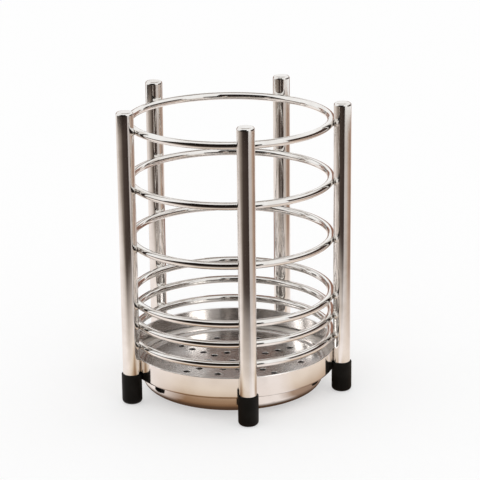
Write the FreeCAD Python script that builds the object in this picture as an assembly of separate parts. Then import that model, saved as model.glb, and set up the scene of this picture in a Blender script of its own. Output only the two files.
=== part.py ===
import FreeCAD, Part
import math
import os

# Chopstick holder: five steel posts on rubber feet, six wire rings welded inside the posts,
# a stepped drip tray welded between them, and a perforated drain plate that lifts out upwards.
# Millimetres, +Z up. The origin is on the axis of the rings at table level, with one post at -Y.

# Wire rings
ring_bore = 100.0
wire_diameter = 4.0
close_pitch = 10.9
close_gap_count = 2
wide_pitch = 30.9
wide_gap_count = 3
rim_gap = 4.4
weld_sink = 0.3

# Posts
post_names = ("front", "right", "back_right", "back_left", "left")
post_diameter = 9.0
post_wall = 0.8
post_end_thickness = 1.6
post_edge_radius = 1.4
post_rise = 11.0

# Rubber feet
foot_height = 16.0
foot_wall = 0.75
foot_floor = 2.2
foot_toe_radius = 2.0
foot_lip_radius = 0.3

# Drip tray
sheet = 0.8
sump_depth = 10.0
tray_wall_height = 10.6
sump_toe_radius = 4.7
step_bend = 0.4
rim_rounding = 0.45  # share of the sheet's thickness, on both edges of the rim

# Drain plate
plate_thickness = 0.8
plate_clearance = 0.7
ledge_seat = 1.0
plate_edge_radius = 0.3
dish_depth = 1.2
dish_bend = 1.0
dish_clearance = 0.3
hole_diameter = 3.4
hole_deburr = 0.2
hole_spokes = 10
first_hole_radius = 12.8
hole_pitch = 7.8
hole_border = 8.0
plate_turn = 6.0

# Radii that follow from the sizes above
wire_radius = wire_diameter / 2
ring_radius = ring_bore / 2 + wire_radius
ring_outer_radius = ring_radius + wire_radius
post_radius = post_diameter / 2
post_circle_radius = ring_outer_radius + post_radius - weld_sink
foot_radius = post_radius + foot_wall
tray_radius = ring_outer_radius
bend_outside = step_bend + sheet
plate_radius = ring_bore / 2 - plate_clearance
sump_bore_radius = plate_radius - ledge_seat - bend_outside
sump_radius = sump_bore_radius + sheet

# The dish's 45 degree side clears the ledge's rounded edge, so the sump's mouth centres the plate
bend_touch = bend_outside * (2 - math.sqrt(2))
dish_mouth_radius = sump_bore_radius + bend_touch - dish_clearance * math.sqrt(2)
dish_floor_radius = dish_mouth_radius - dish_depth

# Heights that follow, from the table upwards: the tray and the post ends stand on one plane
frame_bottom = foot_floor
sump_floor = frame_bottom + sheet
ledge_height = sump_floor + sump_depth
step_underside = ledge_height - sheet
rim_height = ledge_height + tray_wall_height
lowest_ring_height = rim_height + rim_gap + wire_radius
ring_steps = [close_pitch] * close_gap_count + [wide_pitch] * wide_gap_count
ring_heights = [lowest_ring_height + sum(ring_steps[:count]) for count in range(len(ring_steps) + 1)]
post_top = ring_heights[-1] + post_rise

up = FreeCAD.Vector(0, 0, 1)
centre = FreeCAD.Vector(0, 0, 0)


def rounded_wire(corners):
    """Closed outline in the XZ plane from (radius, height, rounding) corners, with tangent arcs."""
    points = [FreeCAD.Vector(r, 0, z) for r, z, rounding in corners]
    starts = []
    arcs = []
    ends = []
    for i, (r, z, rounding) in enumerate(corners):
        corner = points[i]
        to_last = (points[i - 1] - corner).normalize()
        to_next = (points[(i + 1) % len(points)] - corner).normalize()
        half_angle = to_last.getAngle(to_next) / 2
        reach = rounding / math.tan(half_angle)
        start = corner + to_last * reach
        end = corner + to_next * reach
        starts.append(start)
        ends.append(end)
        if rounding > 0:
            bisector = (to_last + to_next).normalize()
            nearest = rounding / math.sin(half_angle) - rounding
            arcs.append(Part.Arc(start, corner + bisector * nearest, end).toShape())
        else:
            arcs.append(None)
    edges = []
    for i, arc in enumerate(arcs):
        if arc is not None:
            edges.append(arc)
        edges.append(Part.LineSegment(ends[i], starts[(i + 1) % len(starts)]).toShape())
    return Part.Wire(edges)


def turned(corners):
    """Solid of revolution about the Z axis from a rounded outline."""
    return Part.Face(rounded_wire(corners)).revolve(centre, up, 360)


def post_places():
    """Name and centre of each post on the post circle, from the front round to the right."""
    turn = 2 * math.pi / len(post_names)
    for i, name in enumerate(post_names):
        angle = i * turn
        x = post_circle_radius * math.sin(angle)
        y = -post_circle_radius * math.cos(angle)
        yield name, FreeCAD.Vector(x, y, 0)


def post():
    """Tube closed at its top end, which has a small rounded edge."""
    bore = post_radius - post_wall
    end_inside = post_top - post_end_thickness
    return turned([
        (0, post_top, 0),
        (post_radius, post_top, post_edge_radius),
        (post_radius, frame_bottom, 0),
        (bore, frame_bottom, 0),
        (bore, end_inside, 0),
        (0, end_inside, 0),
    ])


def foot():
    """Rubber cap sleeved over the lower end of a post, with a rounded toe."""
    return turned([
        (0, 0, 0),
        (foot_radius, 0, foot_toe_radius),
        (foot_radius, foot_height, foot_lip_radius),
        (post_radius, foot_height, 0),
        (post_radius, foot_floor, 0),
        (0, foot_floor, 0),
    ])


def tray_outside():
    """Outer corners of the tray, from the middle of its bottom up to its rim."""
    return [
        (0, frame_bottom, 0),
        (sump_radius, frame_bottom, sump_toe_radius),
        (sump_radius, step_underside, step_bend),
        (tray_radius, step_underside, bend_outside),
        (tray_radius, rim_height, rim_rounding * sheet),
    ]


def tray():
    """Drawn sheet tray: a sump, a step that carries the drain plate, and an upright wall."""
    return turned(tray_outside() + [
        (tray_radius - sheet, rim_height, rim_rounding * sheet),
        (tray_radius - sheet, ledge_height, step_bend),
        (sump_bore_radius, ledge_height, bend_outside),
        (sump_bore_radius, sump_floor, sump_toe_radius - sheet),
        (0, sump_floor, 0),
    ])


def tray_envelope():
    """The tray's outer form without its hollow, which presses a flat into each foot."""
    return turned(tray_outside() + [(0, rim_height, 0)])


def ring(height):
    """Closed hoop of round wire."""
    return Part.makeTorus(ring_radius, wire_radius, FreeCAD.Vector(0, 0, height), up)


def hole_cutter():
    """Cutter for one drain hole, with its edges broken at both faces of the sheet."""
    radius = hole_diameter / 2
    broken = min(hole_deburr, plate_thickness / 3)
    return turned([
        (0, 0, 0),
        (radius + broken, 0, 0),
        (radius, broken, 0),
        (radius, plate_thickness - broken, 0),
        (radius + broken, plate_thickness, 0),
        (0, plate_thickness, 0),
    ])


def drain_plate():
    """Round plate with a flat rim, a shallow dish and drain holes on spokes about a centre hole."""
    rim_top = ledge_height + plate_thickness
    bottom = ledge_height - dish_depth
    bend = min(dish_bend, dish_depth)
    plate = turned([
        (0, bottom, 0),
        (dish_floor_radius, bottom, bend),
        (dish_mouth_radius, ledge_height, bend),
        (plate_radius, ledge_height, 0),
        (plate_radius, rim_top, plate_edge_radius),
        (dish_mouth_radius, rim_top, bend),
        (dish_floor_radius, bottom + plate_thickness, bend),
        (0, bottom + plate_thickness, 0),
    ])
    outermost = dish_floor_radius - hole_border - hole_diameter / 2
    holes_per_spoke = int((outermost - first_hole_radius) / hole_pitch) + 1
    places = [FreeCAD.Vector(0, 0, bottom)]
    for spoke in range(hole_spokes):
        angle = math.radians(plate_turn + spoke * 360 / hole_spokes)
        for step in range(holes_per_spoke):
            radius = first_hole_radius + step * hole_pitch
            places.append(FreeCAD.Vector(radius * math.sin(angle), -radius * math.cos(angle), bottom))
    return plate.cut([hole_cutter().translated(place) for place in places])


def save(shape, node):
    """Write one sub-part under its node's name."""
    shape.exportStep("parts/" + node + ".step")


os.makedirs("parts", exist_ok=True)

bar = Part.makeCylinder(post_radius, post_top - frame_bottom, FreeCAD.Vector(0, 0, frame_bottom), up)
bars = [bar.translated(place) for name, place in post_places()]
pressing_form = tray_envelope()
for name, place in post_places():
    save(post().translated(place), "post_" + name)
    save(foot().translated(place).cut(pressing_form), "foot_" + name)

for count, height in enumerate(reversed(ring_heights), start=1):
    save(ring(height).cut(bars), "ring_" + str(count))

save(tray().cut(bars), "drip_tray")
save(drain_plate(), "drain_plate")
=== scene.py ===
"""Looks of a chopstick holder: polished stainless posts, hoops and tray, a satin drain plate, rubber feet."""

import logging
import math
import random
from dataclasses import dataclass
from enum import Enum

import bmesh
import bpy
from mathutils import Matrix, Vector


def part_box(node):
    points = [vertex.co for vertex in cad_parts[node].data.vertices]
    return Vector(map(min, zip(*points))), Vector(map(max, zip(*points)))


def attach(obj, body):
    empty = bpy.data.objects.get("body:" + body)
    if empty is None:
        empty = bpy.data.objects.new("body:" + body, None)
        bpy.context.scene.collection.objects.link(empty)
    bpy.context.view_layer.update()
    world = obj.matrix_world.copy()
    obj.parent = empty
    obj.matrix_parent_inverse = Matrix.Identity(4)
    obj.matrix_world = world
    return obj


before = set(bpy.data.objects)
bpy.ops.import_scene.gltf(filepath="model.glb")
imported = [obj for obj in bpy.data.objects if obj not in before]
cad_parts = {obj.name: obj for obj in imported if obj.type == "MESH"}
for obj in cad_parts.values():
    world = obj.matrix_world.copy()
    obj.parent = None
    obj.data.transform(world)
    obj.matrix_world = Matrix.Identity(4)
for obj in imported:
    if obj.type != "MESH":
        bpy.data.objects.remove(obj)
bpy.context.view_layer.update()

log = logging.getLogger("chopstick_holder")

MM = 0.001
POSTS = ("post_front", "post_right", "post_back_right", "post_back_left", "post_left")
FEET = ("foot_front", "foot_right", "foot_back_right", "foot_back_left", "foot_left")
RINGS = ("ring_1", "ring_2", "ring_3", "ring_4", "ring_5", "ring_6")
TRAY = "drip_tray"
PLATE = "drain_plate"
Stops = tuple[tuple[float, str], ...]


def linear(hex_colour: str) -> tuple[float, float, float, float]:
    """Turn an sRGB hex colour into linear red, green, blue and alpha.

    Args:
        hex_colour: Colour such as "#C8C4BE".

    Returns:
        Linear components from 0 to 1, with alpha 1.
    """
    channels = [int(hex_colour[i:i + 2], 16) / 255 for i in (1, 3, 5)]
    bright = [c / 12.92 if c <= 0.04045 else ((c + 0.055) / 1.055) ** 2.4 for c in channels]
    return (bright[0], bright[1], bright[2], 1.0)


def add_node(
    tree: bpy.types.NodeTree,
    kind: str,
    inputs: dict[str | int, object] | None = None,
    stops: Stops = (),
    **settings: object,
) -> bpy.types.Node:
    """Add one shader node with its settings, its constant inputs and its links.

    Args:
        tree: Node tree that takes the node.
        kind: Type name of the node.
        inputs: Socket name or number to a constant, or to an output socket to link from.
        stops: Places from 0 to 1 and their hex colours, where the node is a colour ramp.
        settings: Properties of the node itself, such as its operation.

    Returns:
        The new node.
    """
    node = tree.nodes.new(kind)
    for name, value in settings.items():
        setattr(node, name, value)
    for socket, value in (inputs or {}).items():
        if isinstance(value, bpy.types.NodeSocket):
            tree.links.new(value, node.inputs[socket])
        else:
            node.inputs[socket].default_value = value
    if stops:
        band = node.color_ramp.elements
        band.remove(band[1])
        band[0].position = stops[0][0]
        band[0].color = linear(stops[0][1])
        for place, colour in stops[1:]:
            band.new(place).color = linear(colour)
    return node


def new_material(name: str) -> tuple[bpy.types.Material, bpy.types.NodeTree]:
    """Make an empty node material.

    Args:
        name: Name of the material.

    Returns:
        The material and its node tree, with no nodes in it.
    """
    material = bpy.data.materials.new(name)
    material.use_nodes = True
    material.node_tree.nodes.clear()
    return material, material.node_tree


def new_object(name: str, mesh: bmesh.types.BMesh, material: bpy.types.Material) -> bpy.types.Object:
    """Put a finished mesh into the scene.

    Args:
        name: Name of the object.
        mesh: Mesh data, which is freed here.
        material: Its one material.

    Returns:
        The new object, smooth shaded.
    """
    data = bpy.data.meshes.new(name)
    mesh.to_mesh(data)
    mesh.free()
    data.shade_smooth()
    data.materials.append(material)
    made = bpy.data.objects.new(name, data)
    bpy.context.scene.collection.objects.link(made)
    return made


def dress_node(node: str, material: bpy.types.Material) -> None:
    """Give a CAD node one finish in place of its packed one.

    Args:
        node: Name of the node.
        material: The finish.
    """
    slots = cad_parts[node].data.materials
    slots.clear()
    slots.append(material)
    log.info("dressed %s in %s", node, material.name)


def round_from_camera(turn_deg: float, elevation_deg: float, camera_azimuth_deg: float) -> Vector:
    """Direction to a place in the studio, from the middle of the holder.

    Args:
        turn_deg: Angle from the camera's side, to the right.
        elevation_deg: Angle above the table.
        camera_azimuth_deg: Where the camera stands, from the front towards the right.

    Returns:
        Unit vector.
    """
    azimuth = math.radians(camera_azimuth_deg + turn_deg)
    elevation = math.radians(elevation_deg)
    level = math.cos(elevation)
    return Vector((math.sin(azimuth) * level, -math.cos(azimuth) * level, math.sin(elevation)))


class Grain(Enum):
    """Which way the polishing belt or lathe left its lines."""

    ALONG_Z = "along the upright tube"
    ROUND_Z = "round the upright axis"


# Noise levels from clean to smeared steel, and from the best polish to the dullest
SMEAR_LEVELS = (0.35, 0.75)
POLISH_LEVELS = (0.1, 0.45)
# How much a face looks up or down, from a side that takes the full painted shade to a face that keeps its
# colour
SIDE_SHADE_LEVELS = (0.4, 0.6)
# A face this far from the upright axis that looks straight at it is an inside
INSIDE_RADIUS_MM = 5.0
# How much a face looks up, from an upright wall to a rim or a floor
TOP_LEVELS = (0.1, 0.4)


@dataclass(frozen=True)
class SteelFinish:
    """Stainless steel, with the fine lines that its polishing left.

    Polishing leaves lines finer than a hair, which blur reflections a little across the lines. They are drawn
    coarser than real ones, so that they show at the render's size. Where they run round a piece, a quarter of
    a turn as anisotropic_turn spreads the light across them. Handling leaves soft smears, where the steel is
    a little duller and darker. Where a shade colour is given, every face that looks sideways, such as the
    walls of punched holes and a cut upright edge, takes it as painted shade, so that the holes read dark.
    The polish reaches the inside of a deep piece less well. Where they differ from the rest, satin_inside is
    the roughness of its wall, and dull_top is the roughness of all that looks up: its deburred rim, its ledge
    and its floor.
    """

    name: str
    colour: str
    smear_colour: str
    roughness: float
    roughness_spread: float
    grain: Grain
    line_spacing_mm: float
    line_length_mm: float
    line_depth_mm: float
    smear_size_mm: float
    anisotropic: float = 0.0
    anisotropic_turn: float = 0.0
    painted_shade_colour: str = ""
    satin_inside: float = 0.0
    dull_top: float = 0.0

    def grain_coordinates(self, tree: bpy.types.NodeTree) -> bpy.types.NodeSocket:
        """Add nodes for a point's place, squeezed so that noise becomes lines along the grain.

        Args:
            tree: Node tree of the material.

        Returns:
            The vector output to feed a noise texture of scale 1.
        """
        place = add_node(tree, "ShaderNodeTexCoord").outputs["Object"]
        across = 1 / (self.line_spacing_mm * MM)
        along = 1 / (self.line_length_mm * MM)
        if self.grain is Grain.ALONG_Z:
            scaled = add_node(
                tree, "ShaderNodeVectorMath", {0: place, 1: (across, across, along)}, operation="MULTIPLY"
            )
            return scaled.outputs[0]
        parts = add_node(tree, "ShaderNodeSeparateXYZ", {0: place})
        flat = add_node(tree, "ShaderNodeVectorMath", {0: place, 1: (1, 1, 0)}, operation="MULTIPLY")
        radius = add_node(
            tree, "ShaderNodeVectorMath", {0: flat.outputs[0]}, operation="LENGTH"
        ).outputs["Value"]
        angle = add_node(
            tree, "ShaderNodeMath", {0: parts.outputs["Y"], 1: parts.outputs["X"]}, operation="ARCTAN2"
        )
        arc = add_node(tree, "ShaderNodeMath", {0: angle.outputs[0], 1: radius}, operation="MULTIPLY")
        unrolled = add_node(
            tree, "ShaderNodeCombineXYZ", {0: arc.outputs[0], 1: radius, 2: parts.outputs["Z"]}
        )
        scaled = add_node(
            tree,
            "ShaderNodeVectorMath",
            {0: unrolled.outputs[0], 1: (along, across, across)},
            operation="MULTIPLY",
        )
        return scaled.outputs[0]

    def steel_colour(self, tree: bpy.types.NodeTree, smears: bpy.types.NodeSocket) -> bpy.types.NodeSocket:
        """Add nodes for the colour: clean, smeared, and painted shade on faces that look sideways.

        Args:
            tree: Node tree of the material.
            smears: Noise that says where the smears are.

        Returns:
            The colour output.
        """
        clean, smeared = SMEAR_LEVELS
        colour = add_node(
            tree,
            "ShaderNodeValToRGB",
            {"Fac": smears},
            stops=((clean, self.colour), (smeared, self.smear_colour)),
        ).outputs[0]
        if not self.painted_shade_colour:
            return colour
        # Painted shade: faces that look sideways, such as the walls of punched holes, take the dark colour
        side_shade_level, polished = SIDE_SHADE_LEVELS
        facing = add_node(tree, "ShaderNodeTexCoord").outputs["Normal"]
        upwards = add_node(tree, "ShaderNodeSeparateXYZ", {0: facing}).outputs["Z"]
        level = add_node(tree, "ShaderNodeMath", {0: upwards}, operation="ABSOLUTE").outputs[0]
        reached = add_node(
            tree, "ShaderNodeMapRange", {"Value": level, "From Min": side_shade_level, "From Max": polished}
        ).outputs[0]
        return add_node(
            tree,
            "ShaderNodeMix",
            {"Factor": reached, 6: linear(self.painted_shade_colour), 7: colour},
            data_type="RGBA",
        ).outputs[2]

    def polish(
        self,
        tree: bpy.types.NodeTree,
        place: bpy.types.NodeSocket,
        lines: bpy.types.NodeSocket,
        smears: bpy.types.NodeSocket,
    ) -> bpy.types.NodeSocket:
        """Add nodes for the roughness: finest between lines and smears, with own values inside and on top.

        Args:
            tree: Node tree of the material.
            place: A point's place on the piece.
            lines: Noise drawn out along the grain.
            smears: Noise that says where the smears are.

        Returns:
            The roughness output.
        """
        finest, dullest = POLISH_LEVELS
        worn = add_node(tree, "ShaderNodeMath", {0: lines, 1: smears}, operation="MULTIPLY").outputs[0]
        roughness = add_node(
            tree,
            "ShaderNodeMapRange",
            {
                "Value": worn,
                "From Min": finest,
                "From Max": dullest,
                "To Min": self.roughness - self.roughness_spread,
                "To Max": self.roughness + self.roughness_spread,
            },
        ).outputs[0]
        facing = add_node(tree, "ShaderNodeTexCoord").outputs["Normal"]
        if self.satin_inside:
            outward = add_node(
                tree, "ShaderNodeVectorMath", {0: place, 1: (1, 1, 0)}, operation="MULTIPLY"
            ).outputs[0]
            away = add_node(
                tree, "ShaderNodeVectorMath", {0: outward, 1: facing}, operation="DOT_PRODUCT"
            ).outputs["Value"]
            outside = add_node(
                tree,
                "ShaderNodeMapRange",
                {"Value": away, "From Min": -INSIDE_RADIUS_MM * MM, "From Max": 0.0},
            ).outputs[0]
            roughness = add_node(
                tree, "ShaderNodeMix", {"Factor": outside, 2: self.satin_inside, 3: roughness}
            ).outputs[0]
        if self.dull_top:
            upright, level = TOP_LEVELS
            upwards = add_node(tree, "ShaderNodeSeparateXYZ", {0: facing}).outputs["Z"]
            top = add_node(
                tree, "ShaderNodeMapRange", {"Value": upwards, "From Min": upright, "From Max": level}
            ).outputs[0]
            roughness = add_node(
                tree, "ShaderNodeMix", {"Factor": top, 2: roughness, 3: self.dull_top}
            ).outputs[0]
        return roughness

    def material(self) -> bpy.types.Material:
        """Build the steel: its colour, polish lines, smears and the sheen that they leave."""
        material, tree = new_material(self.name)
        place = add_node(tree, "ShaderNodeTexCoord").outputs["Object"]
        lines = add_node(
            tree,
            "ShaderNodeTexNoise",
            {"Vector": self.grain_coordinates(tree), "Scale": 1.0, "Detail": 3.0, "Roughness": 0.6},
        ).outputs["Fac"]
        smears = add_node(
            tree,
            "ShaderNodeTexNoise",
            {"Vector": place, "Scale": 1 / (self.smear_size_mm * MM), "Detail": 2.0},
        ).outputs["Fac"]
        bump = add_node(
            tree,
            "ShaderNodeBump",
            {"Height": lines, "Strength": 1.0, "Distance": self.line_depth_mm * MM},
        ).outputs[0]
        shader = add_node(
            tree,
            "ShaderNodeBsdfPrincipled",
            {
                "Base Color": self.steel_colour(tree, smears),
                "Metallic": 1.0,
                "Roughness": self.polish(tree, place, lines, smears),
                "Normal": bump,
                "Anisotropic": self.anisotropic,
                "Anisotropic Rotation": self.anisotropic_turn,
            },
        )
        if self.anisotropic:
            tangent = add_node(tree, "ShaderNodeTangent", direction_type="RADIAL", axis="Z")
            tree.links.new(tangent.outputs[0], shader.inputs["Tangent"])
        add_node(tree, "ShaderNodeOutputMaterial", {"Surface": shader.outputs[0]})
        return material


@dataclass(frozen=True)
class RubberFinish:
    """Black moulded rubber: a dull skin with a slight sheen and a fine pebble from the mould."""

    name: str = "moulded black rubber"
    colour: str = "#0D0C0A"
    dusty_colour: str = "#161412"
    roughness: float = 0.5
    ior: float = 1.52
    specular: float = 0.12
    pebble_mm: float = 0.35
    pebble_depth_mm: float = 0.02
    dust_size_mm: float = 6.0
    dust_levels: tuple[float, float] = (0.4, 0.75)

    def material(self) -> bpy.types.Material:
        """Build the rubber: near black, a little dustier in patches, finely pebbled."""
        material, tree = new_material(self.name)
        place = add_node(tree, "ShaderNodeTexCoord").outputs["Object"]
        dust = add_node(
            tree,
            "ShaderNodeTexNoise",
            {"Vector": place, "Scale": 1 / (self.dust_size_mm * MM), "Detail": 4.0},
        ).outputs["Fac"]
        clean, dusty = self.dust_levels
        colour = add_node(
            tree,
            "ShaderNodeValToRGB",
            {"Fac": dust},
            stops=((clean, self.colour), (dusty, self.dusty_colour)),
        ).outputs[0]
        pebbles = add_node(
            tree, "ShaderNodeTexNoise", {"Vector": place, "Scale": 1 / (self.pebble_mm * MM), "Detail": 2.0}
        ).outputs["Fac"]
        bump = add_node(
            tree,
            "ShaderNodeBump",
            {"Height": pebbles, "Strength": 1.0, "Distance": self.pebble_depth_mm * MM},
        ).outputs[0]
        shader = add_node(
            tree,
            "ShaderNodeBsdfPrincipled",
            {
                "Base Color": colour,
                "Roughness": self.roughness,
                "Normal": bump,
                "IOR": self.ior,
                "Specular IOR Level": self.specular,
            },
        )
        add_node(tree, "ShaderNodeOutputMaterial", {"Surface": shader.outputs[0]})
        return material


# Drawn tube, belt polished along its length: mirror bright, with stripes that have slightly ragged edges
POLISHED_TUBE = SteelFinish(
    name="polished stainless tube",
    colour="#EFEDEA",
    smear_colour="#E3DFDA",
    roughness=0.11,
    roughness_spread=0.05,
    grain=Grain.ALONG_Z,
    line_spacing_mm=0.3,
    line_length_mm=30.0,
    line_depth_mm=0.0015,
    smear_size_mm=9.0,
)
# Drawn wire, electropolished: brighter than the tube, with faint drawing lines along the wire
POLISHED_WIRE = SteelFinish(
    name="polished stainless wire",
    colour="#F1EFEC",
    smear_colour="#E7E3DE",
    roughness=0.07,
    roughness_spread=0.04,
    grain=Grain.ROUND_Z,
    line_spacing_mm=0.25,
    line_length_mm=60.0,
    line_depth_mm=0.0008,
    smear_size_mm=9.0,
)
# Weld metal, only wiped after welding: darker and duller than the wire, with a brown heat tint; part of its
# darkness is painted shade of the narrow gaps where the beads sit against the posts
WELD_METAL = SteelFinish(
    name="wiped stainless weld",
    colour="#665C55",
    smear_colour="#443A33",
    roughness=0.2,
    roughness_spread=0.06,
    grain=Grain.ROUND_Z,
    line_spacing_mm=0.5,
    line_length_mm=0.8,
    line_depth_mm=0.03,
    smear_size_mm=2.5,
)
# Deep-drawn sheet, polished on a lathe: a mirror with faint lines round it, duller inside and on the rim
POLISHED_SHEET = SteelFinish(
    name="polished drawn stainless sheet",
    colour="#EEEBE8",
    smear_colour="#E4DFDA",
    roughness=0.09,
    roughness_spread=0.04,
    grain=Grain.ROUND_Z,
    line_spacing_mm=0.35,
    line_length_mm=60.0,
    line_depth_mm=0.003,
    smear_size_mm=14.0,
    anisotropic=0.6,
    anisotropic_turn=0.25,
    satin_inside=0.14,
    dull_top=0.6,
)
# Pressed sheet, spun under fine grit: grooves round the middle fan the light out into bright and dark sectors
SATIN_SHEET = SteelFinish(
    name="satin spun stainless sheet",
    colour="#CECBC9",
    smear_colour="#C1BCB8",
    roughness=0.27,
    roughness_spread=0.02,
    grain=Grain.ROUND_Z,
    line_spacing_mm=0.4,
    line_length_mm=60.0,
    line_depth_mm=0.0002,
    smear_size_mm=12.0,
    anisotropic=0.8,
    anisotropic_turn=0.25,
    # Near black on the walls of its holes and on its cut edge: painted shade, so that the holes read dark
    painted_shade_colour="#2B2724",
)


@dataclass(frozen=True)
class Viewpoint:
    """The camera, fitted to the hoops and posts as the photograph shows them."""

    azimuth_deg: float = -7.75
    elevation_deg: float = 17.51
    roll_deg: float = -0.629
    distance_mm: float = 1090.9
    target_height_mm: float = 79.75
    target_shift_mm: float = 4.55
    lens_mm: float = 156.87
    sensor_mm: float = 36.0

    def build(self) -> bpy.types.Object:
        """Make the camera, aim it and give it to the scene."""
        roll = math.radians(self.roll_deg)
        back = round_from_camera(0, self.elevation_deg, self.azimuth_deg)
        level = round_from_camera(90, 0, self.azimuth_deg)
        upright = back.cross(level)
        right = level * math.cos(roll) + upright * math.sin(roll)
        up = upright * math.cos(roll) - level * math.sin(roll)
        target = Vector((0, 0, self.target_height_mm * MM)) + level * self.target_shift_mm * MM
        place = target + back * self.distance_mm * MM
        lens = bpy.data.cameras.new("camera")
        lens.lens = self.lens_mm
        lens.sensor_width = self.sensor_mm
        camera = bpy.data.objects.new("camera", lens)
        camera.matrix_world = Matrix((
            (right.x, up.x, back.x, place.x),
            (right.y, up.y, back.y, place.y),
            (right.z, up.z, back.z, place.z),
            (0, 0, 0, 1),
        ))
        bpy.context.scene.collection.objects.link(camera)
        bpy.context.scene.camera = camera
        return camera


def shown_rays(tree: bpy.types.NodeTree) -> bpy.types.NodeSocket:
    """Add nodes that tell the rays which show a surface from the rays which only light others.

    Args:
        tree: Node tree that takes the nodes.

    Returns:
        An output that is 1 for camera, glossy and transmission rays, and 0 for the rest.
    """
    path = add_node(tree, "ShaderNodeLightPath").outputs
    seen = add_node(
        tree, "ShaderNodeMath", {0: path["Is Camera Ray"], 1: path["Is Glossy Ray"]}, operation="MAXIMUM"
    ).outputs[0]
    return add_node(
        tree, "ShaderNodeMath", {0: seen, 1: path["Is Transmission Ray"]}, operation="MAXIMUM"
    ).outputs[0]


def show_only_to_metal(card: bpy.types.Object) -> None:
    """Hide a studio card from all but reflections.

    Args:
        card: The card.
    """
    card.visible_camera = False
    card.visible_diffuse = False
    card.visible_shadow = False


def matt_card(name: str, colour: str) -> bpy.types.Material:
    """Build the plain matt print of a studio card.

    Args:
        name: Name of the material.
        colour: Its sRGB hex colour.

    Returns:
        The material.
    """
    material, tree = new_material(name)
    shader = add_node(tree, "ShaderNodeBsdfDiffuse", {"Color": linear(colour)})
    add_node(tree, "ShaderNodeOutputMaterial", {"Surface": shader.outputs[0]})
    return material


@dataclass(frozen=True)
class TableCard:
    """A glowing card on the table that only the polished metal sees.

    Close to the holder it is painted shade, the holder's shadow on the table, lighter with the distance from
    the middle, but the shade doesn't go all round: shade_deg gives it by the angle from the camera's side,
    positive to the right, from black for none to white for full shade. Further out the colour changes round
    the holder, as round_deg says. Where reach_deg is white that change is over at fade_end_mm, and where it
    is darker it takes a longer way. Under the tray it is darker still, a painted shadow that clears between
    two given distances from the middle and draws a dark line along the step.
    """

    shaded_mm: Stops
    lit_colour: str
    shade_deg: Stops
    round_deg: Stops
    reach_deg: Stops
    # Painted shadow under the tray, which draws a dark line along its step
    painted_shadow_colour: str = "#543F30"
    painted_shadow_mm: tuple[float, float] = (48.0, 55.0)
    fade_start_mm: float = 90.0
    fade_end_mm: float = 265.0
    radius_mm: float = 640.0
    height_mm: float = 0.1
    edges: int = 96

    def material(self) -> bpy.types.Material:
        """Build the card's print, lit from inside like a light table, from its rows of colours and its
        painted shade.
        """
        material, tree = new_material("glowing table card with painted shade")
        place = add_node(tree, "ShaderNodeTexCoord").outputs["Object"]
        parts = add_node(tree, "ShaderNodeSeparateXYZ", {0: place})
        radius = add_node(tree, "ShaderNodeVectorMath", {0: place}, operation="LENGTH").outputs["Value"]
        share = add_node(
            tree, "ShaderNodeMath", {0: radius, 1: self.radius_mm * MM}, operation="DIVIDE"
        ).outputs[0]
        # Painted shade: the holder's shadow on the table, by the distance from the middle
        shaded = add_node(
            tree,
            "ShaderNodeValToRGB",
            {"Fac": share},
            stops=tuple((at / self.radius_mm, colour) for at, colour in self.shaded_mm),
        ).outputs[0]
        angle = add_node(
            tree, "ShaderNodeMath", {0: parts.outputs["Y"], 1: parts.outputs["X"]}, operation="ARCTAN2"
        ).outputs[0]
        turn = add_node(
            tree, "ShaderNodeMapRange", {"Value": angle, "From Min": -math.pi, "From Max": math.pi}
        ).outputs[0]
        shade, far, reach = (
            add_node(
                tree,
                "ShaderNodeValToRGB",
                {"Fac": turn},
                stops=tuple((at / 360 + 0.5, colour) for at, colour in row),
            ).outputs[0]
            for row in (self.shade_deg, self.round_deg, self.reach_deg)
        )
        near = add_node(
            tree,
            "ShaderNodeMix",
            {"Factor": shade, 6: linear(self.lit_colour), 7: shaded},
            data_type="RGBA",
        ).outputs[2]
        # Painted shadow: dark under the tray, clearing outwards
        dark, clear = self.painted_shadow_mm
        beside = add_node(
            tree, "ShaderNodeMapRange", {"Value": radius, "From Min": dark * MM, "From Max": clear * MM}
        ).outputs[0]
        near = add_node(
            tree,
            "ShaderNodeMix",
            {"Factor": beside, 6: linear(self.painted_shadow_colour), 7: near},
            data_type="RGBA",
        ).outputs[2]
        reached = add_node(tree, "ShaderNodeMath", {0: radius, 1: reach}, operation="MULTIPLY").outputs[0]
        fade = add_node(
            tree,
            "ShaderNodeMapRange",
            {"Value": reached, "From Min": self.fade_start_mm * MM, "From Max": self.fade_end_mm * MM},
        ).outputs[0]
        print_and_painted_shade = add_node(
            tree, "ShaderNodeMix", {"Factor": fade, 6: near, 7: far}, data_type="RGBA"
        ).outputs[2]
        # The card glows, so no real shadow falls on it: all its shade is painted
        shader = add_node(tree, "ShaderNodeEmission", {"Color": print_and_painted_shade})
        add_node(tree, "ShaderNodeOutputMaterial", {"Surface": shader.outputs[0]})
        return material

    def build(self, camera_azimuth_deg: float) -> bpy.types.Object:
        """Lay the card on the table, turned so that its own X axis points at the camera's side.

        Args:
            camera_azimuth_deg: Where the camera stands, from the front towards the right.

        Returns:
            The card, hidden from all but reflections.
        """
        mesh = bmesh.new()
        bmesh.ops.create_circle(mesh, cap_ends=True, segments=self.edges, radius=self.radius_mm * MM)
        card = new_object("table card", mesh, self.material())
        card.location.z = self.height_mm * MM
        card.rotation_euler.z = math.radians(camera_azimuth_deg - 90)
        show_only_to_metal(card)
        return card


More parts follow.
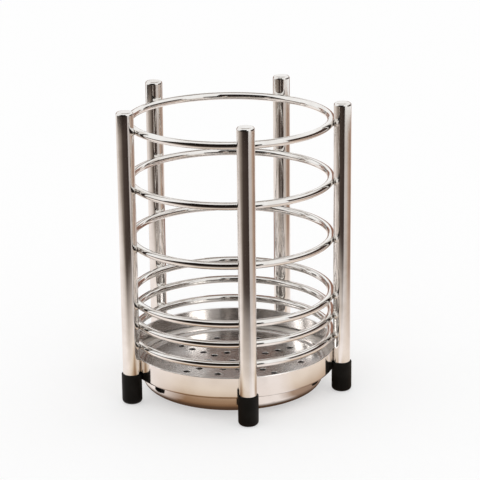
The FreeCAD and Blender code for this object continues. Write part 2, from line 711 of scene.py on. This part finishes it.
@dataclass(frozen=True)
class Flag:
    """A curved matt panel that stands round the holder, for the polished metal to mirror.

    All its edges are angles, as seen from the middle of the table: turn_deg where it starts and ends, from
    the camera's side to the right, and high_deg its upper edge at the start and at the end.
    """

    name: str
    turn_deg: tuple[float, float]
    high_deg: tuple[float, float]
    colour: str
    low_deg: float = 0.0
    radius_mm: float = 640.0
    step_deg: float = 3.0

    def build(self, camera_azimuth_deg: float) -> bpy.types.Object:
        """Stand the panel in its place round the holder.

        Args:
            camera_azimuth_deg: Where the camera stands, from the front towards the right.

        Returns:
            The panel, hidden from all but reflections.
        """
        start, end = self.turn_deg
        high_start, high_end = self.high_deg
        steps = max(2, round((end - start) / self.step_deg))
        mesh = bmesh.new()
        columns = []
        for step in range(steps + 1):
            share = step / steps
            turn = start + (end - start) * share
            foot = round_from_camera(turn, 0, camera_azimuth_deg) * self.radius_mm * MM
            column = []
            for angle in (self.low_deg, high_start + (high_end - high_start) * share):
                rise = math.tan(math.radians(angle)) * self.radius_mm * MM
                column.append(mesh.verts.new(foot + Vector((0, 0, rise))))
            columns.append(column)
        for one, two in zip(columns, columns[1:]):
            mesh.faces.new((one[0], two[0], two[1], one[1]))
        panel = new_object(self.name, mesh, matt_card(self.name, self.colour))
        show_only_to_metal(panel)
        return panel


@dataclass(frozen=True)
class CeilingStrip:
    """A grey strip of ceiling behind the holder, for the polished metal to mirror."""

    colour: str
    height_mm: float = 900.0
    half_width_mm: float = 250.0
    start_mm: float = 240.0
    end_mm: float = 1200.0

    def build(self, camera_azimuth_deg: float) -> bpy.types.Object:
        """Hang the strip level, above and behind the holder.

        Args:
            camera_azimuth_deg: Where the camera stands, from the front towards the right.

        Returns:
            The strip, hidden from all but reflections.
        """
        away = round_from_camera(180, 0, camera_azimuth_deg)
        aside = round_from_camera(90, 0, camera_azimuth_deg) * self.half_width_mm
        up = Vector((0, 0, self.height_mm))
        near = up + away * self.start_mm
        far = up + away * self.end_mm
        mesh = bmesh.new()
        corners = (near - aside, near + aside, far + aside, far - aside)
        mesh.faces.new([mesh.verts.new(corner * MM) for corner in corners])
        strip = new_object("ceiling strip", mesh, matt_card("ceiling strip", self.colour))
        show_only_to_metal(strip)
        return strip


@dataclass(frozen=True)
class Softbox:
    """An oblong soft lamp that faces a point above the table, for the sheen of the tray and plate alone."""

    name: str
    turn_deg: float
    elevation_deg: float
    width_mm: float
    height_mm: float
    brightness: float
    distance_mm: float = 900.0
    aim_height_mm: float = 40.0
    lights: tuple[str, ...] = (TRAY, PLATE)

    def build(self, camera_azimuth_deg: float) -> bpy.types.Object:
        """Make the lamp at its place round the holder.

        Args:
            camera_azimuth_deg: Where the camera stands, from the front towards the right.

        Returns:
            The lamp.
        """
        out = round_from_camera(self.turn_deg, self.elevation_deg, camera_azimuth_deg)
        data = bpy.data.lights.new(self.name, "AREA")
        data.shape = "RECTANGLE"
        data.size = self.width_mm * MM
        data.size_y = self.height_mm * MM
        data.energy = math.pi * data.size * data.size_y * self.brightness
        lamp = bpy.data.objects.new(self.name, data)
        lamp.location = Vector((0, 0, self.aim_height_mm * MM)) + out * self.distance_mm * MM
        lamp.rotation_euler = out.to_track_quat("Z", "Y").to_euler()
        lamp.visible_diffuse = False
        lit = bpy.data.collections.new(f"lit by the {self.name}")
        for node in self.lights:
            lit.objects.link(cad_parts[node])
        lamp.light_linking.receiver_collection = lit
        bpy.context.scene.collection.objects.link(lamp)
        return lamp


@dataclass(frozen=True)
class Studio:
    """White floor, white surroundings, soft lamps, and the cards that the polished metal mirrors."""

    table_card: TableCard
    ceiling: CeilingStrip
    flags: tuple[Flag, ...]
    softboxes: tuple[Softbox, ...]
    floor_colour: str = "#FFFFFF"
    floor_half_mm: float = 6000.0
    ambient: float = 0.98
    shadow_lift: float = 0.5

    def floor(self) -> bpy.types.Object:
        """Make the plain pale floor, at table level, with a light shadow for the camera."""
        material, tree = new_material("matt white floor")
        matt = add_node(tree, "ShaderNodeBsdfDiffuse", {"Color": linear(self.floor_colour)})
        white = add_node(tree, "ShaderNodeEmission")
        lift = add_node(
            tree, "ShaderNodeMath", {0: shown_rays(tree), 1: self.shadow_lift}, operation="MULTIPLY"
        )
        shader = add_node(
            tree, "ShaderNodeMixShader", {0: lift.outputs[0], 1: matt.outputs[0], 2: white.outputs[0]}
        )
        add_node(tree, "ShaderNodeOutputMaterial", {"Surface": shader.outputs[0]})
        mesh = bmesh.new()
        bmesh.ops.create_grid(mesh, x_segments=1, y_segments=1, size=self.floor_half_mm * MM)
        made = new_object("floor", mesh, material)
        return made

    def world(self) -> None:
        """Light everything evenly, and show plain white to the camera and to the metal."""
        world = bpy.data.worlds.new("white studio")
        bpy.context.scene.world = world
        world.use_nodes = True
        tree = world.node_tree
        tree.nodes.clear()
        strength = add_node(
            tree, "ShaderNodeMapRange", {"Value": shown_rays(tree), "To Min": self.ambient, "To Max": 1.0}
        )
        light = add_node(
            tree, "ShaderNodeBackground", {"Color": (1, 1, 1, 1), "Strength": strength.outputs[0]}
        )
        add_node(tree, "ShaderNodeOutputWorld", {"Surface": light.outputs[0]})

    def build(self, camera_azimuth_deg: float) -> None:
        """Set up the whole studio.

        Args:
            camera_azimuth_deg: Where the camera stands, from the front towards the right.
        """
        self.floor()
        self.world()
        for piece in (self.table_card, self.ceiling, *self.flags, *self.softboxes):
            piece.build(camera_azimuth_deg)
        bpy.context.scene.view_settings.view_transform = "Standard"


@dataclass(frozen=True)
class WeldedFrame:
    """The posts, hoops and tray, with the small weld beads where they meet.

    A hoop's bead runs round the small oval where the hoop touches a post. The tray's beads are two short
    upright runs beside each post, just under the rim. Sizes are in millimetres.
    """

    bead_radius: float = 0.3
    oval_half_width: float = 1.75
    oval_half_height: float = 1.2
    upright_offset: float = 1.75
    upright_length: float = 5.5
    upright_below_rim: float = 1.2
    upright_drop: float = 1.0
    upright_length_spread: float = 0.15
    ripple_pitch: float = 0.9
    ripple_share: float = 0.08
    oval_waves: int = 3
    oval_ripples: int = 5
    unevenness: float = 0.1
    end_share: float = 0.05
    end_bluntness: float = 0.4
    points: int = 40
    sides: int = 10
    seed: int = 7

    def dress(self) -> None:
        """Give the posts, hoops and tray their polished finishes."""
        tube = POLISHED_TUBE.material()
        wire = POLISHED_WIRE.material()
        sheet = POLISHED_SHEET.material()
        for post in POSTS:
            dress_node(post, tube)
        for ring in RINGS:
            dress_node(ring, wire)
        dress_node(TRAY, sheet)

    def sweep(
        self,
        mesh: bmesh.types.BMesh,
        centres: list[Vector],
        radii: list[float],
        outward: Vector,
        closed: bool,
    ) -> None:
        """Add a round bead along a line of points.

        Args:
            mesh: Mesh that takes the bead, in metres.
            centres: Points along the bead's middle, in millimetres.
            radii: The bead's radius at each point, in millimetres.
            outward: Direction that no stretch of the bead runs along.
            closed: Whether the last point joins the first; otherwise both ends come to a point.
        """
        count = len(centres)
        loops = []
        for i, centre in enumerate(centres):
            before = centres[i - 1] if closed else centres[max(i - 1, 0)]
            after = centres[(i + 1) % count] if closed else centres[min(i + 1, count - 1)]
            along = (after - before).normalized()
            side = along.cross(outward).normalized()
            top = side.cross(along)
            loop = []
            for k in range(self.sides):
                turn = 2 * math.pi * k / self.sides
                reach = (side * math.cos(turn) + top * math.sin(turn)) * radii[i]
                loop.append(mesh.verts.new((centre + reach) * MM))
            loops.append(loop)
        pairs = list(zip(loops, loops[1:]))
        if closed:
            pairs.append((loops[-1], loops[0]))
        for one, two in pairs:
            for k in range(self.sides):
                after_k = (k + 1) % self.sides
                mesh.faces.new((one[k], one[after_k], two[after_k], two[k]))
        if not closed:
            mesh.faces.new(list(reversed(loops[0])))
            mesh.faces.new(loops[-1])

    def post_middle(self, post: str) -> tuple[Vector, float]:
        """Where a post stands and how thick it is.

        Args:
            post: Name of the post's node.

        Returns:
            The middle of the post at table level and its radius, in millimetres.
        """
        low, high = (Vector(corner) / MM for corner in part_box(post))
        middle = (low + high) / 2
        return Vector((middle.x, middle.y, 0)), (high.x - low.x) / 2

    def ring_welds(self, ring: str, material: bpy.types.Material, draw: random.Random) -> bpy.types.Object:
        """Make the five beads that hold one hoop to the posts.

        Args:
            ring: Name of the hoop's node.
            material: Finish of the beads.
            draw: Seeded source of small unevenness.

        Returns:
            The beads as one piece.
        """
        low, high = (Vector(corner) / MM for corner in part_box(ring))
        height = (low.z + high.z) / 2
        wire_radius = (high.z - low.z) / 2
        ring_radius = (high.y - low.y) / 2 - wire_radius
        mesh = bmesh.new()
        for post in POSTS:
            middle, post_radius = self.post_middle(post)
            out = middle.normalized()
            side = Vector((-out.y, out.x, 0))
            phases = [draw.uniform(0, 2 * math.pi) for wave in range(self.oval_waves)]
            centres = []
            radii = []
            for i in range(self.points):
                turn = 2 * math.pi * i / self.points
                wave = sum(math.sin((n + 2) * turn + phase) for n, phase in enumerate(phases)) / len(phases)
                swell = 1 + self.unevenness * wave
                across = self.oval_half_width * swell * math.cos(turn)
                rise = self.oval_half_height * swell * math.sin(turn)
                post_face = middle.length - math.sqrt(post_radius ** 2 - across ** 2)
                hoop_reach = ring_radius + math.sqrt(wire_radius ** 2 - rise ** 2)
                hoop_face = math.sqrt(hoop_reach ** 2 - across ** 2)
                level = out * (post_face + hoop_face) / 2 + side * across
                centres.append(level + Vector((0, 0, height + rise)))
                ripple = math.sin(self.oval_ripples * turn + phases[0])
                radii.append(self.bead_radius * (1 + self.unevenness * ripple))
            self.sweep(mesh, centres, radii, out, closed=True)
        return self.finished(f"welds_{ring}", mesh, material)

    def tray_welds(self, material: bpy.types.Material, draw: random.Random) -> bpy.types.Object:
        """Make the upright beads that hold the tray's wall to the posts.

        Args:
            material: Finish of the beads.
            draw: Seeded source of small unevenness.

        Returns:
            The beads as one piece.
        """
        low, high = (Vector(corner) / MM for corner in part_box(TRAY))
        tray_radius = (high.y - low.y) / 2
        mesh = bmesh.new()
        for post in POSTS:
            middle, post_radius = self.post_middle(post)
            out = middle.normalized()
            side = Vector((-out.y, out.x, 0))
            for across in (-self.upright_offset, self.upright_offset):
                post_face = middle.length - math.sqrt(post_radius ** 2 - across ** 2)
                tray_face = math.sqrt(tray_radius ** 2 - across ** 2)
                start = out * (post_face + tray_face) / 2 + side * across
                top = high.z - self.upright_below_rim - draw.uniform(0, self.upright_drop)
                spread = self.upright_length_spread
                length = self.upright_length * draw.uniform(1 - spread, 1 + spread)
                centres = []
                radii = []
                for i in range(self.points + 1):
                    share = i / self.points
                    taper = max(self.end_share, math.sin(math.pi * share)) ** self.end_bluntness
                    ripples = share * length / self.ripple_pitch
                    ripple = 1 + self.ripple_share * math.sin(2 * math.pi * ripples)
                    centres.append(start + Vector((0, 0, top - length * share)))
                    radii.append(self.bead_radius * taper * ripple)
                self.sweep(mesh, centres, radii, out, closed=False)
        return self.finished("welds_tray", mesh, material)

    def finished(self, name: str, mesh: bmesh.types.BMesh, material: bpy.types.Material) -> bpy.types.Object:
        """Make a piece from beads and let it ride on the frame.

        Args:
            name: Name of the piece.
            mesh: The beads.
            material: Their finish.

        Returns:
            The piece.
        """
        bmesh.ops.recalc_face_normals(mesh, faces=mesh.faces)
        piece = new_object(name, mesh, material)
        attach(piece, "holder")
        log.info("built %s", name)
        return piece

    def build(self) -> None:
        """Dress the frame and add its welds."""
        self.dress()
        draw = random.Random(self.seed)
        weld = WELD_METAL.material()
        for ring in RINGS:
            self.ring_welds(ring, weld, draw)
        self.tray_welds(weld, draw)


@dataclass(frozen=True)
class RubberFeet:
    """The five rubber caps on the posts' lower ends."""

    finish: RubberFinish = RubberFinish()

    def build(self) -> None:
        """Give every foot its rubber."""
        rubber = self.finish.material()
        for foot in FEET:
            dress_node(foot, rubber)


@dataclass(frozen=True)
class DrainPlate:
    """The loose perforated plate in the tray."""

    finish: SteelFinish = SATIN_SHEET

    def build(self) -> None:
        """Give the plate its satin finish."""
        dress_node(PLATE, self.finish.material())


STUDIO = Studio(
    table_card=TableCard(
        # Painted shade close to the holder, where its shadow falls on the table
        shaded_mm=((54, "#86664C"), (66, "#9C7C60"), (80, "#C6AC92"), (96, "#F0E1D1"), (114, "#FFF2E8")),
        lit_colour="#FFF6F2",
        shade_deg=(
            (-74, "#000000"),
            (-58, "#B0B0B0"),
            (-40, "#FFFFFF"),
            (8, "#FFFFFF"),
            (20, "#404040"),
            (38, "#404040"),
            (52, "#F0F0F0"),
            (95, "#F0F0F0"),
            (110, "#000000"),
        ),
        round_deg=(
            (-180, "#EADFD8"),
            (-122, "#DDD2CA"),
            (-66, "#9B8F85"),
            (-34, "#4E433D"),
            (27, "#3C322E"),
            (31, "#CDC5C1"),
            (56, "#CBC2BD"),
            (80, "#BBA391"),
            (100, "#9A7C6A"),
            (180, "#DCC6B8"),
        ),
        reach_deg=((-110, "#A0A0A0"), (-64, "#CBCBCB"), (-34, "#FFFFFF"), (110, "#FFFFFF"), (150, "#A0A0A0")),
    ),
    ceiling=CeilingStrip("#A09892"),
    flags=(
        # Dark in front and at the sides: the black line along the hoops, and dark sectors of tray and plate
        Flag("front flag", turn_deg=(-52, 16), high_deg=(55, 62), colour="#221D1A"),
        Flag("right front flag", turn_deg=(16, 33), high_deg=(24, 24), colour="#221D1A"),
        Flag("left flag", turn_deg=(-75, -52), high_deg=(12, 55), colour="#37302C"),
        Flag("far left flag", turn_deg=(-112, -75), high_deg=(5, 12), colour="#37302C"),
        Flag("right flag", turn_deg=(62, 128), high_deg=(34, 34), colour="#46362E", low_deg=4),
        # Tan behind: the ends of the hoops, where the wire runs towards the camera
        Flag("backdrop", turn_deg=(140, 220), high_deg=(14, 14), colour="#8F6E60", low_deg=-3),
        Flag("left side backdrop", turn_deg=(185.5, 225), high_deg=(23, 26), colour="#9A7565", low_deg=14),
        Flag("right side backdrop", turn_deg=(135, 174.5), high_deg=(26, 23), colour="#9A7565", low_deg=14),
        # Low and close behind: the front half of the plate
        Flag(
            "low back flag",
            turn_deg=(161, 191),
            high_deg=(42, 42),
            colour="#9A7261",
            low_deg=20,
            radius_mm=80,
        ),
        Flag(
            "low left back flag",
            turn_deg=(206, 219),
            high_deg=(42, 42),
            colour="#3A322E",
            low_deg=20,
            radius_mm=80,
        ),
    ),
    softboxes=(
        Softbox("window", turn_deg=46, elevation_deg=22, width_mm=420, height_mm=480, brightness=4.5),
        Softbox("left softbox", turn_deg=-95, elevation_deg=26, width_mm=420, height_mm=360, brightness=5.5),
    ),
)


def main() -> None:
    """Build the camera, the studio and every finish."""
    logging.basicConfig(level=logging.INFO, format="%(message)s")
    viewpoint = Viewpoint()
    viewpoint.build()
    STUDIO.build(viewpoint.azimuth_deg)
    for assembly in (WeldedFrame(), RubberFeet(), DrainPlate()):
        assembly.build()


if __name__ == "__main__":
    main()
